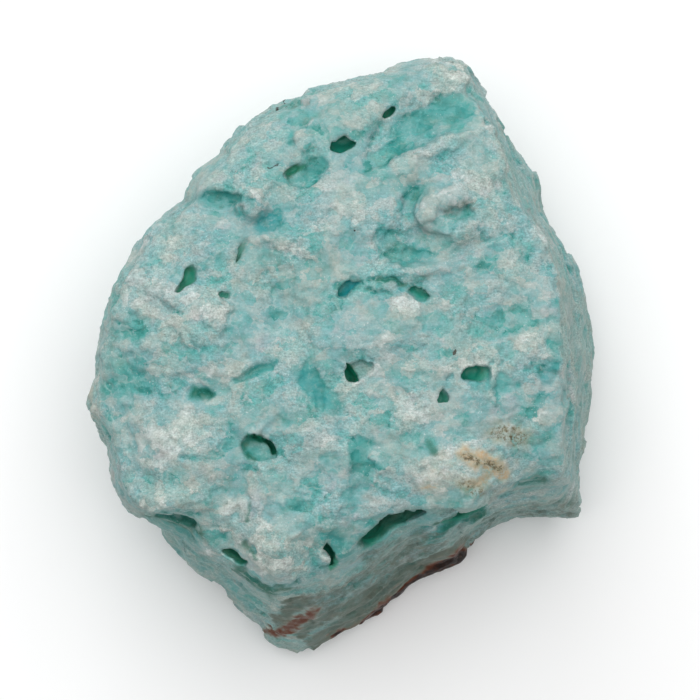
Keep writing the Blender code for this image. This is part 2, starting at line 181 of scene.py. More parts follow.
def normals_of(obj):
    normals = np.empty(len(obj.data.vertices) * 3, np.float32)
    obj.data.vertex_normals.foreach_get("vector", normals)
    return normals.reshape(-1, 3).astype(float)


def smooth_step(low, high, values):
    t = np.clip((values - low) / (high - low), 0.0, 1.0)
    return t * t * (3.0 - 2.0 * t)


def from_plan(dot, height):
    """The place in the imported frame, mm, of a dot of the plan, for a point at this height."""
    here_mm = DOT_MM * (EYE_HEIGHT - height) / (EYE_HEIGHT - PLAN_LEVEL)
    x = (PLAN_MIDDLE[0] - ORIGIN_DOT[0]) * DOT_MM + (dot[0] - PLAN_MIDDLE[0]) * here_mm
    y = (ORIGIN_DOT[1] - PLAN_MIDDLE[1]) * DOT_MM + (PLAN_MIDDLE[1] - dot[1]) * here_mm
    return Vector((x + PLAN_ORIGIN[0], y + PLAN_ORIGIN[1]))


def smooth_outline(points):
    """A closed line that bows smoothly through the points, in short steps."""
    line = []
    for i, start in enumerate(points):
        end, after = points[(i + 1) % len(points)], points[(i + 2) % len(points)]
        leave = start + (end - points[i - 1]) * PORE_BEND
        arrive = end - (after - start) * PORE_BEND
        line += geometry.interpolate_bezier(start, leave, arrive, end, PORE_CORNERS)[:-1]
    return [Vector(p[:2]) for p in line]


def chipped(place, amount):
    """The place moved by up to this amount, so that a line through such places has a broken edge."""
    spot = Vector((place.x, place.y, 0.0)) / PORE_CHIP
    moves = [noise.noise(spot + Vector((0.0, 0.0, layer))) for layer in CHIP_LAYERS]
    return place + Vector(moves) * amount


def line_distance(places, line):
    """How far places lie from an open line, below 0 on its left, and how far along it, from 0 to 1."""
    nearest = np.full(len(places), np.inf)
    signed = np.zeros(len(places))
    along = np.zeros(len(places))
    lengths = [(b - a).length for a, b in zip(line, line[1:])]
    passed = 0.0
    for a, b, length in zip(line, line[1:], lengths):
        off = places - a
        run = b - a
        share = np.clip((off[:, 0] * run.x + off[:, 1] * run.y) / length**2, 0.0, 1.0)
        away = np.hypot(off[:, 0] - share * run.x, off[:, 1] - share * run.y)
        closer = away < nearest
        right = np.where(off[:, 0] * run.y - off[:, 1] * run.x < 0.0, -1.0, 1.0)
        nearest[closer] = away[closer]
        signed[closer] = (away * right)[closer]
        along[closer] = ((passed + share * length) / sum(lengths))[closer]
        passed += length
    return signed, along


def outline_distance(places, line):
    """How far places lie from a closed line, below 0 inside it."""
    closed = line + line[:1]
    away = np.abs(line_distance(places, closed)[0])
    inside = np.zeros(len(places), bool)
    for a, b in zip(closed, closed[1:]):
        if a.y != b.y:
            crossed = (a.y > places[:, 1]) != (b.y > places[:, 1])
            inside ^= crossed & (places[:, 0] < (b.x - a.x) * (places[:, 1] - a.y) / (b.y - a.y) + a.x)
    return np.where(inside, -away, away)


def pore_lines(tops):
    """For each pore, the height of the face round its mouth and its outline there."""
    found = {}
    for name, pore in PORES.items():
        mouth = np.array([from_plan(dot, FACE_LEVEL) for dot in pore[-1]])
        reach = np.ptp(mouth, axis=0).max() / 2 + MOUTH_MARGIN
        near = np.hypot(*(tops[:, :2] - mouth.mean(axis=0)).T) < reach
        level = float(np.percentile(tops[near, 2], MOUTH_PERCENTILE))
        line = smooth_outline([from_plan(dot, level) for dot in pore[-1]])
        middle = sum(line, Vector((0.0, 0.0))) / len(line)
        ragged = PORE_RAGGED * 2.0 * max((p - middle).length for p in line)
        line = [chipped(middle + (p - middle) * PORE_EASE, ragged) for p in line]
        found[name] = (level, line, middle)
    return found


def pore_cutter(name, pore, level, line, middle):
    """The pore's outline as a flat face above the chunk, drawn down in steps to its narrower floor."""
    depth, lean_x, lean_y, tilt = pore[:4]
    bpy.ops.object.select_all(action="DESELECT")
    bpy.ops.mesh.primitive_circle_add(vertices=len(line), fill_type="NGON")
    cutter = bpy.context.object
    cutter.name = name
    for vertex, place in zip(cutter.data.vertices, line):
        vertex.co = Vector((place.x, place.y, level + PORE_RISE)) * MM
    bpy.ops.object.mode_set(mode="EDIT")
    bpy.ops.mesh.select_all(action="SELECT")
    bpy.ops.mesh.extrude_region_move(TRANSFORM_OT_translate={"value": (0.0, 0.0, -PORE_RISE * MM)})
    share_before, width_before = 0.0, 1.0
    for share, width in PORE_STEPS:
        drawn = share - share_before
        move = Vector((lean_x * drawn, lean_y * drawn, -depth * drawn)) * MM
        bpy.ops.mesh.extrude_region_move(TRANSFORM_OT_translate={"value": move})
        centre = Vector((middle.x + lean_x * share, middle.y + lean_y * share, level - depth * share))
        narrower = width / width_before
        bpy.ops.transform.resize(value=(narrower, narrower, 1.0), center_override=centre * MM)
        share_before, width_before = share, width
    bpy.ops.mesh.select_all(action="SELECT")
    bpy.ops.mesh.quads_convert_to_tris()
    bpy.ops.mesh.normals_make_consistent(inside=False)
    bpy.ops.object.mode_set(mode="OBJECT")
    lean = Vector((lean_x, lean_y))
    furthest = max(abs((p - middle).dot(lean)) for p in line) or 1.0
    for vertex in cutter.data.vertices:
        below = level - vertex.co.z / MM
        if below > 0.0:
            across = (vertex.co.xy / MM - middle).dot(lean) / furthest
            vertex.co.z = (level - below * (1.0 - tilt * (0.5 - 0.5 * min(1.0, across)))) * MM
    return cutter


def weigh(obj, name, weights):
    """Keeps a weight for each point in a vertex group, which modifiers read by name."""
    group = obj.vertex_groups.new(name=name)
    steps = np.round(np.clip(weights, 0.0, 1.0) * WEIGHT_STEPS).astype(int)
    for step in range(1, WEIGHT_STEPS + 1):
        group.add(np.nonzero(steps == step)[0].tolist(), step / WEIGHT_STEPS, "REPLACE")


node = frame["nodes"]["raw_blue_aragonite"]
chunk = node.copy()
chunk.data = node.data.copy()
chunk.name = chunk.data.name = "aragonite_chunk"
chunk.parent = None
bpy.context.scene.collection.objects.link(chunk)
chunk.data.materials.clear()
select_only(chunk)
bpy.ops.object.mode_set(mode="EDIT")
bpy.ops.mesh.select_all(action="SELECT")
bpy.ops.mesh.remove_doubles(threshold=0.000001)
bpy.ops.object.mode_set(mode="OBJECT")

points = points_of(chunk)
pores = pore_lines(points[points[:, 2] > FACE_LEVEL / 2])
cutters = bpy.data.collections.new("pore_cutters")
bpy.context.scene.collection.children.link(cutters)
for name, (level, line, middle) in pores.items():
    cutter = pore_cutter(name, PORES[name], level, line, middle)
    bpy.context.scene.collection.objects.unlink(cutter)
    cutters.objects.link(cutter)
cut = chunk.modifiers.new("pores", "BOOLEAN")
cut.operand_type = "COLLECTION"
cut.collection = cutters
skin = chunk.modifiers.new("skin", "REMESH")
skin.mode = "VOXEL"
skin.voxel_size = SKIN_GRAIN
apply_all(chunk)
for cutter in list(cutters.objects):
    bpy.data.objects.remove(cutter)
bpy.data.collections.remove(cutters)

# How far down a pore each point lies, from 0 at its mouth to 1, and how near a pore's edge.
points = points_of(chunk)
hollow = np.zeros(len(points))
hollow_blue = np.zeros(len(points))
pore_edge = np.zeros(len(points))
for name, (level, line, middle) in pores.items():
    depth, lean_x, lean_y, tilt, blue, deep = PORES[name][:6]
    near = (np.abs(points[:, :2] - middle) < PORE_REACH).all(axis=1)
    close = np.nonzero(near & (points[:, 2] > level - depth - FLOOR_MARGIN))[0]
    below = level - points[close, 2]
    share = np.clip(below / depth, 0.0, 1.0)
    mouthward = points[close, :2] - share[:, None] * (lean_x, lean_y)
    away = outline_distance(mouthward, line)
    inside = 1.0 - smooth_step(*WALL_FADE, away)
    inside *= deep * smooth_step(LIP_DEPTH, min(FULL_DEPTH, FULL_SHARE * depth), below)
    stronger = close[inside > hollow[close]]
    hollow_blue[stronger] = blue
    hollow[close] = np.maximum(hollow[close], inside)
    pore_edge[close] = np.maximum(pore_edge[close], 1.0 - smooth_step(*EDGE_FADE, away))

weigh(chunk, "away_from_pores", 1.0 - EDGE_KEPT * pore_edge)
ease = chunk.modifiers.new("ease", "SMOOTH")
ease.factor = 0.5
ease.iterations = SKIN_SMOOTHING
ease.vertex_group = "away_from_pores"
apply_all(chunk)


# ---- Its broken surface ------------------------------------------------------------------------------
# Aragonite breaks unevenly: flat chips of a few millimetres, ledges where a bed ends, crusty lumps of
# crystals and narrow cracks. All of it is real relief in the mesh.
LOWEST_FACE = 27.0  # mm, above which the broad face's own patches lie
FACE_FADE = 4.0  # mm below that, over which they end
SIDE_SLOPE = (0.35, 0.8)  # where the skin turns into a side: 0 is level and 1 upright
UNDER_SLOPE = (0.2, 0.8)  # where it turns into the underside: 0 is upright and 1 faces down
SHADED_SIDE_WAY = (0.6, -0.8)  # the way, in x and y, that the sides with grey painted shade face: away from the light
SHADED_SIDE_TURN = (-0.1, 0.5)  # from where to where a side counts as facing that way
LEAST_SIDE_SHADING = 0.25  # how much of that grey painted shade the other sides get
PORE_CALM = 0.4  # how much of the relief a pore's own edge is spared
UNDER_CALM = 0.6  # the same for the underside
PATCH_EDGE = (0.85, 1.2)  # where a patch fades, 1 being its outline
PATCH_RISE = 0.3  # mm that a patch of height 1 stands proud
LEDGE_ENDS = 0.12  # the share of a ledge's length over which each end fades
LEDGE_RISER = 0.12  # mm, half the run of its drop
LEDGE_LIP = 0.35  # mm, how far before the drop its raised lip lies, and how wide that is
LIP_SHARE = 0.15  # the lip's height, as a share of the drop
SEAM_ENDS = 0.1  # the share of a seam's length over which each end fades
SEAM_SHARPNESS = 1.6  # how quickly a seam ends across its width
FULL_TONE = 1.2  # the most that patches and seams add up to
CRUST_LAYER = 0.08  # mm, the height of a layer of crust
CRUST_EDGES = ((-0.6, -0.45), (-0.12, 0.12), (0.38, 0.5))  # the tones between which each layer rises
STEP_HEIGHT = 0.5  # mm, a step of the broad face
STEP_RISER = 0.06  # half the share of a step that is steep
STEP_SHARE = 0.35  # how much of the steps shows
STEP_STRETCH = (0.7, 1.2, 1.0)  # they run further in x than in y

# How edges wander in the plan: the size of the bumps and how far they reach, in mm, and the seed.
PATCH_WANDER = ((3.0, 0.7, 31), (1.2, 0.45, 33), (0.6, 0.25, 35))
SKIN_WANDER = ((1.9, 0.25, 51), (0.8, 0.12, 53))
LEDGE_WANDER = 0.35  # the share of the patches' wander that ledges and seams have

# Bumps of the skin: their size, their height and how much higher they are in crust, in mm, and the
# seed. The spots of tone are laid out in the same way, with a strength for the height.
ROUNDED_BUMPS = ((2.6, 0.06, 0.0, 11), (1.1, 0.01, 0.05, 12), (0.6, 0.01, 0.05, 13))
CHIPPED_BUMPS = ((3.2, 0.12, 0.0, 14), (1.1, 0.03, 0.08, 15))
SIDE_FACETS = ((5.0, 0.5, 0.0, 20),)
TONE_SPOTS = ((3.0, 0.55, 0.0, 41), (1.5, 0.5, 0.0, 42), (0.8, 0.0, 0.4, 43))
# Beds round the sides: their pattern's scale in x and y, their thickness and relief in mm, and the seed.
BEDS = ((0.1, 0.9, 0.2, 18), (0.14, 0.45, 0.12, 19))

# The patches of the broad face: the dot of their middle, length and width in dots, turn in degrees, tone
# and height. A tone of 1 is milky crust and -1 clear blue, and crust mostly stands a little proud.
PATCHES = {
    "scoop": (430, 120, 84, 34, 36, -0.9, -0.5),
    "scoop_tail": (384, 156, 52, 18, 38, -0.8, -0.3),
    "scoop_hook": (463, 113, 28, 12, 50, -0.8, -0.4),
    "scoop_upper": (400, 92, 34, 30, 40, -0.3, 0.0),
    "sky_left": (300, 116, 46, 34, 20, -0.5, -0.2),
    "arch": (306, 171, 40, 26, 30, -0.9, -0.5),
    "lobe_shade": (224, 199, 54, 16, 3, -0.7, -0.5),
    "blue_notch": (268, 219, 28, 20, 10, -1.0, -0.5),
    "left_sheet": (196, 222, 64, 34, 40, -0.3, -0.2),
    "vein_top": (272, 252, 50, 14, -62, -0.5, -0.3),
    "vein_mid": (280, 298, 50, 22, 70, -0.6, -0.4),
    "vein_low": (272, 330, 34, 16, 80, -0.5, -0.3),
    "vein_side": (243, 326, 34, 30, 60, -0.5, -0.2),
    "centre_pool": (312, 296, 44, 20, -5, -0.5, -0.3),
    "centre_sheet": (350, 316, 92, 30, -6, -0.3, -0.1),
    "crack_left": (347, 287, 30, 14, 14, -1.0, -0.3),
    "crack_right": (415, 291, 40, 11, -17, -0.7, -0.3),
    "left_pool": (132, 327, 44, 30, 0, -0.5, -0.3),
    "left_pool_low": (136, 372, 60, 36, -15, -0.5, -0.3),
    "left_groove": (258, 370, 50, 8, 26, -0.6, -0.4),
    "left_notch": (203, 392, 26, 12, -15, -0.9, -0.3),
    "blue_facet": (311, 384, 34, 20, -62, -1.0, -0.6),
    "blue_facet_tail": (328, 402, 34, 20, -25, -0.8, -0.4),
    "vein_south_head": (362, 446, 22, 28, 20, -0.9, -0.3),
    "vein_south": (362, 474, 22, 50, -5, -0.9, -0.4),
    "vein_south_foot": (352, 494, 30, 12, 25, -0.6, -0.3),
    "south_pool_a": (327, 470, 46, 22, 50, -0.4, -0.2),
    "south_pool_b": (278, 482, 24, 30, 10, -0.5, -0.3),
    "south_pool_c": (306, 498, 36, 28, 15, -0.8, -0.3),
    "low_left_pool": (137, 484, 36, 30, -15, -0.5, -0.3),
    "lower_sheet": (224, 490, 44, 26, 0, -0.3, -0.2),
    "undercut_shade": (176, 522, 54, 22, -8, -0.9, 0.0),
    "nodule_moat": (411, 207, 20, 48, -15, -0.6, -0.4),
    "nodule_gap": (427, 193, 38, 14, 25, -0.7, -0.6),
    "pool_west": (386, 242, 24, 32, 10, -0.7, -0.4),
    "pool_south": (408, 256, 56, 16, -3, -0.7, -0.3),
    "pool_floor": (408, 240, 44, 30, 0, -0.4, 0.0),
    "east_high": (523, 242, 22, 30, 10, -0.6, -0.4),
    "east_middle": (489, 262, 22, 34, -15, -0.5, -0.3),
    "east_low": (494, 324, 50, 34, 10, -0.5, -0.3),
    "edge_strip": (554, 320, 12, 90, 0, -0.5, -0.3),
    "edge_pore": (548, 373, 22, 20, 20, -0.9, -0.4),
    "pore_court": (505, 384, 28, 20, 0, -0.7, -0.4),
    "right_pore": (478, 376, 30, 24, 0, -0.8, -0.3),
    "crust_hole": (432, 448, 15, 15, 0, -0.8, -0.4),
    "corner_pool": (532, 482, 30, 17, 12, -0.6, -0.3),
    "west_low": (225, 410, 34, 56, 0, -0.3, -0.2),
    "cream_west": (198, 303, 66, 30, -24, 1.0, 0.4),
    "cream_west_low": (190, 330, 64, 34, 0, 0.7, 0.3),
    "cream_west_end": (226, 359, 50, 32, -20, 0.6, 0.3),
    "cream_low": (178, 426, 84, 52, -20, 1.0, 0.4),
    "cream_low_end": (163, 456, 44, 26, 10, 0.6, 0.2),
    "knob": (251, 205, 30, 24, 10, 0.8, 0.5),
    "lens": (290, 248, 60, 14, -26, 1.0, 0.4),
    "crust_middle": (338, 215, 66, 36, 0, 0.4, 0.2),
    "nodule_top": (470, 185, 46, 26, -30, 0.5, 0.2),
    "nodule_rim": (447, 198, 40, 12, -20, 0.4, 0.4),
    "nodule_rim_west": (426, 216, 14, 28, 20, 0.3, 0.2),
    "nodule_dimple": (458, 214, 34, 12, 0, -0.5, -1.4),
    "nodule_south": (470, 232, 60, 14, 8, 0.4, 0.2),
    "nodule_east": (505, 218, 50, 16, -35, 0.6, 0.2),
    "scoop_ridge": (450, 143, 80, 12, 22, 0.4, 0.4),
    "tip": (446, 74, 44, 36, -30, 1.0, 0.2),
    "top_left": (335, 96, 60, 22, 12, 0.4, 0.1),
    "white_band": (415, 352, 110, 38, -4, 0.7, 0.3),
    "white_band_west": (350, 342, 72, 16, 4, 0.6, 0.3),
    "white_band_top": (405, 306, 34, 20, -15, 0.9, 0.3),
    "pore_rim": (480, 357, 46, 12, 0, 0.7, 0.4),
    "pore_rim_east": (496, 376, 9, 34, -8, 0.8, 0.4),
    "east_white": (531, 344, 28, 24, 0, 0.7, 0.3),
    "middle_pale": (305, 440, 60, 34, -10, 0.5, 0.2),
    "streak": (256, 492, 13, 46, 12, 0.9, 0.4),
    "lump": (280, 560, 60, 40, -10, 0.9, 0.4),
    "lump_head": (240, 520, 48, 40, -20, 0.7, 0.3),
    "lump_neck": (262, 535, 44, 26, -40, 0.6, 0.3),
    "ochre_ground": (455, 465, 80, 44, 15, 0.8, 0.3),
    "white_rib": (482, 376, 8, 26, 5, 1.2, 0.4),
    "left_tip": (94, 400, 16, 40, 5, 1.0, 0.2),
    "hook_rim": (314, 552, 22, 32, 0, 0.7, 0.3),
    "cave_lip": (372, 508, 46, 13, 25, 0.7, 0.3),
    "pale_green": (424, 474, 56, 44, 20, 0.6, 0.2),
    "middle_facet": (392, 391, 44, 20, -5, 0.5, 0.2),
    "pool_ridge": (425, 271, 64, 9, -4, 0.4, 0.3),
    "east_rim": (544, 228, 12, 36, 20, 0.8, 0.1),
}

# Ledges of the broad face: the drop and the run over which it comes back up, in mm, then the line in
# dots. The ground on the right of the line lies lower.
LEDGES = {
    "lobe": (0.7, 3.0, [(199, 197), (207, 193), (243, 193)]),
    "cream_knob": (0.4, 2.0, [(234, 199), (237, 208), (235, 218)]),
    "scoop": (0.5, 3.0, [(481, 129), (447, 134), (428, 144), (396, 158), (352, 181)]),
    "left_lip": (1.0, 4.0, [(133, 512), (150, 514), (161, 511), (187, 516), (199, 526)]),
    "east_lip": (0.9, 5.0, [(420, 541), (436, 530), (443, 520), (452, 520), (462, 512), (494, 507)]),
    "far_east_lip": (0.7, 4.0, [(470, 510), (482, 492), (505, 486), (512, 482), (558, 478)]),
    "lump": (1.3, 3.5, [(240, 567), (251, 577), (260, 584), (270, 592), (287, 584), (302, 577)]),
    "hook_tip": (0.7, 2.0, [(321, 574), (330, 563), (328, 557), (321, 553)]),
    "nodule": (0.7, 2.5, [(424, 192), (413, 212), (422, 231), (456, 236)]),
    "pool": (0.5, 2.5, [(500, 235), (470, 250), (435, 264), (390, 262), (374, 247)]),
    "small_knob": (0.5, 1.5, [(309, 129), (296, 132), (296, 148)]),
}

# Cracks and raised seams: width and height in mm, tone, then the line in dots.
SEAMS = {
    "slit_tail": (0.5, -0.4, -0.7, [(384, 121), (376, 136), (372, 150)]),
    "arch_crack": (0.4, -0.5, -0.9, [(364, 282), (379, 279), (392, 279), (404, 286)]),
    "arch_crack_floor": (0.4, -0.4, -0.8, [(364, 288), (375, 292), (393, 293)]),
    "left_groove": (0.6, -0.5, -1.0, [(275, 362), (255, 370), (230, 384)]),
    "left_lip_shade": (0.5, -0.3, -1.2, [(150, 517), (161, 514), (187, 519), (198, 527)]),
    "lump_shade": (0.6, -0.5, -1.2, [
        (238, 566), (251, 578), (260, 586), (270, 593), (287, 586), (300, 579),
    ]),
    "hook_dimple": (1.7, -0.7, -0.6, [(327, 536), (342, 549)]),
    "east_rib": (0.5, 0.4, 0.9, [(420, 541), (436, 529), (443, 520)]),
    "lump_crack": (0.4, -0.5, -0.8, [(243, 541), (254, 548), (256, 557)]),
    "hook_crack": (0.4, -0.4, -0.6, [(331, 565), (320, 575)]),
    "right_slot_head": (0.4, -0.4, -0.7, [(445, 380), (455, 374)]),
    "white_rim": (0.5, 0.4, 0.9, [(460, 366), (484, 363), (491, 368), (492, 388)]),
    "middle_lip": (0.4, 0.2, 0.5, [(344, 362), (346, 380), (357, 383), (380, 369)]),
    "knob_ridge": (0.5, 0.3, 0.8, [(306, 129), (315, 121), (321, 121)]),
}


def waves(places, size, seed):
    """Smooth noise from -1 to 1 with bumps about size mm across."""
    shift = Vector((seed * 7.31, seed * 3.17, seed * 5.53))
    return np.array([noise.noise(Vector(p) + shift) for p in (places / size).tolist()])


def chips(places, size, seed):
    """Flat chips about size mm across, each tilted its own way."""
    shift = Vector((seed * 2.7, seed * 9.1, seed * 4.3))
    heights = []
    for p in (places / size).tolist():
        place = Vector(p) + shift
        centre = noise.voronoi(place)[1][0]
        tilt = noise.cell_vector(centre * 17.3) - Vector((0.5, 0.5, 0.5))
        heights.append((place - centre).dot(tilt.normalized()))
    return np.array(heights)


def wander(places, bumps, axis):
    """How far places wander along an axis, mm."""
    return sum(reach * waves(places, size, seed + axis) for size, reach, seed in bumps)


def relief(shape, places, bumps, crusty):
    """The sum of bumps of this shape, higher in crust."""
    return sum((height + more * crusty) * shape(places, size, seed) for size, height, more, seed in bumps)


def terraces(values, step, riser):
    """Turns a smooth height into steps of that height with steep risers."""
    level = values / step
    base = np.floor(level)
    return (base + smooth_step(0.5 - riser, 0.5 + riser, level - base)) * step


def ends_fade(along, share):
    """1 along a line, and 0 at its ends."""
    return smooth_step(0.0, share, along) * smooth_step(0.0, share, 1.0 - along)


def oval_distance(places, middle, length, width, turn):
    """Distance from the middle of a turned oval in plan, 1 on its edge."""
    c, s = math.cos(math.radians(turn)), math.sin(math.radians(turn))
    dx, dy = places[:, 0] - middle.x, places[:, 1] - middle.y
    return np.hypot((dx * c + dy * s) / (length / 2), (dy * c - dx * s) / (width / 2))


points = points_of(chunk)
normals = normals_of(chunk)
side = smooth_step(*SIDE_SLOPE, 1.0 - np.abs(normals[:, 2]))
# How far each side faces away from the light: the sides that do are greyed with painted shade.
facing = smooth_step(*SHADED_SIDE_TURN, normals[:, :2] @ SHADED_SIDE_WAY)
grey_side_shading = side * (LEAST_SIDE_SHADING + (1.0 - LEAST_SIDE_SHADING) * facing)
under = smooth_step(*UNDER_SLOPE, -normals[:, 2])
face = smooth_step(LOWEST_FACE - FACE_FADE, LOWEST_FACE, points[:, 2]) * (1.0 - under)
calm = 1.0 - PORE_CALM * pore_edge

# The patches' edges wander: their plan is warped before it is measured.
warped = points.copy()
for axis in (0, 1):
    warped[:, axis] += wander(points, PATCH_WANDER, axis)
patch_tone = np.zeros(len(points))
patch_height = np.zeros(len(points))
for right, down, length, width, turn, strength, rise in PATCHES.values():
    middle = from_plan((right, down), FACE_LEVEL)
    away = oval_distance(warped, middle, length * DOT_MM, width * DOT_MM, turn)
    reach = 1.0 - smooth_step(*PATCH_EDGE, away)
    patch_tone += strength * reach
    patch_height += PATCH_RISE * rise * reach

# Ledges and seams wander less.
ledge_height = np.zeros(len(points))
seam_height = np.zeros(len(points))
seam_tone = np.zeros(len(points))
ledge_places = points[:, :2] + (warped - points)[:, :2] * LEDGE_WANDER
for drop, run, dots in LEDGES.values():
    line = [from_plan(dot, FACE_LEVEL) for dot in dots]
    away, along = line_distance(ledge_places, line)
    low = smooth_step(-LEDGE_RISER, LEDGE_RISER, away) * (1.0 - smooth_step(0.0, run, away))
    lip = np.exp(-((away / LEDGE_LIP + 1.0) ** 2))
    ledge_height += (LIP_SHARE * lip - low) * drop * ends_fade(along, LEDGE_ENDS)
for width, rise, strength, dots in SEAMS.values():
    line = [from_plan(dot, FACE_LEVEL) for dot in dots]
    away, along = line_distance(ledge_places, line)
    across = np.exp(-((away / width * SEAM_SHARPNESS) ** 2)) * ends_fade(along, SEAM_ENDS)
    seam_height += rise * across
    seam_tone += strength * across

# Crust of every size lies on the clear mineral in layers, whose edges stand up.
patch_tone = np.clip(patch_tone + seam_tone, -FULL_TONE, FULL_TONE) * face
crusty = smooth_step(-0.3, 0.3, waves(points, 6.0, 21) + 0.4 * patch_tone)
tone = 0.85 * patch_tone + relief(waves, warped, TONE_SPOTS, crusty)
crust = CRUST_LAYER * (sum(smooth_step(low, high, tone) for low, high in CRUST_EDGES) - 1.0)
rough = relief(waves, points, ROUNDED_BUMPS, crusty) + relief(chips, points, CHIPPED_BUMPS, crusty)

# The broad face breaks in low steps, and the sides in facets and level beds.
swell = 1.3 * waves(points * STEP_STRETCH, 7.0, 16) + 0.3 * waves(points, 1.6, 17)
steps = STEP_SHARE * (terraces(swell, STEP_HEIGHT, STEP_RISER) - swell)
facets = relief(chips, points, SIDE_FACETS, crusty)
beds = sum(rise * waves(points * (flat, flat, 1.0), size, seed) for flat, size, rise, seed in BEDS)
lift = (rough + crust + steps * (1.0 - side)) * calm + (facets + beds) * side
points += normals * (lift * (1.0 - UNDER_CALM * under))[:, None]
points[:, 2] += (patch_height * calm + ledge_height + seam_height) * face
for axis in (0, 1):
    points[:, axis] += wander(points, SKIN_WANDER, axis) * face
points[:, 2] = np.maximum(points[:, 2], 0.0)
move_points(chunk, points)


# ---- What the surface knows of its own form ----------------------------------------------------------
# The colour of the mineral follows its relief: hollows are clear, all that stands proud is milky, and the
# broad hollows are darkened further with painted shade. Earthy stains and clear glassy spots lie where
# water left them, and strokes of painted shade lie in crevices, under ledges and on the foot. Each
# becomes a value kept with the points.
FINE_TURNS = 6  # how often the skin is eased, for its fine relief to stand out
BROAD_TURNS = 60  # the same for its broad relief
FINE_SPAN = 0.2  # mm of relief that count as a full value of 1
BROAD_SPAN = 1.2  # the same for the broad relief
TONE_SPAN = 1.5  # the tone that counts as 1

STROKE_WANDER = 0.6  # the share of the patches' wander that strokes have
STROKE_EDGE = (0.4, 1.5)  # from where to where a stroke fades, as a share of its width
SIDE_WANDER = 1.8  # mm that a stroke's edge wanders on the sides, which the plan sees edge on
SIDE_WANDER_SIZE = 4.0  # mm
USUAL_REACH = (4.0, 7.0)  # mm above or below its level, over which a stroke fades
STROKE_REACH = {"iron": (6.0, 10.0), "shade": (6.0, 10.0), "soot": (1.5, 3.0)}
SIDE_THINNED = 0.5  # how far the sides are thinned, against the underside
LEAST_THINNED = 0.12  # how far the face is thinned
THINNED_EDGE = (0.35, 0.85)  # from where to where the thinning grows

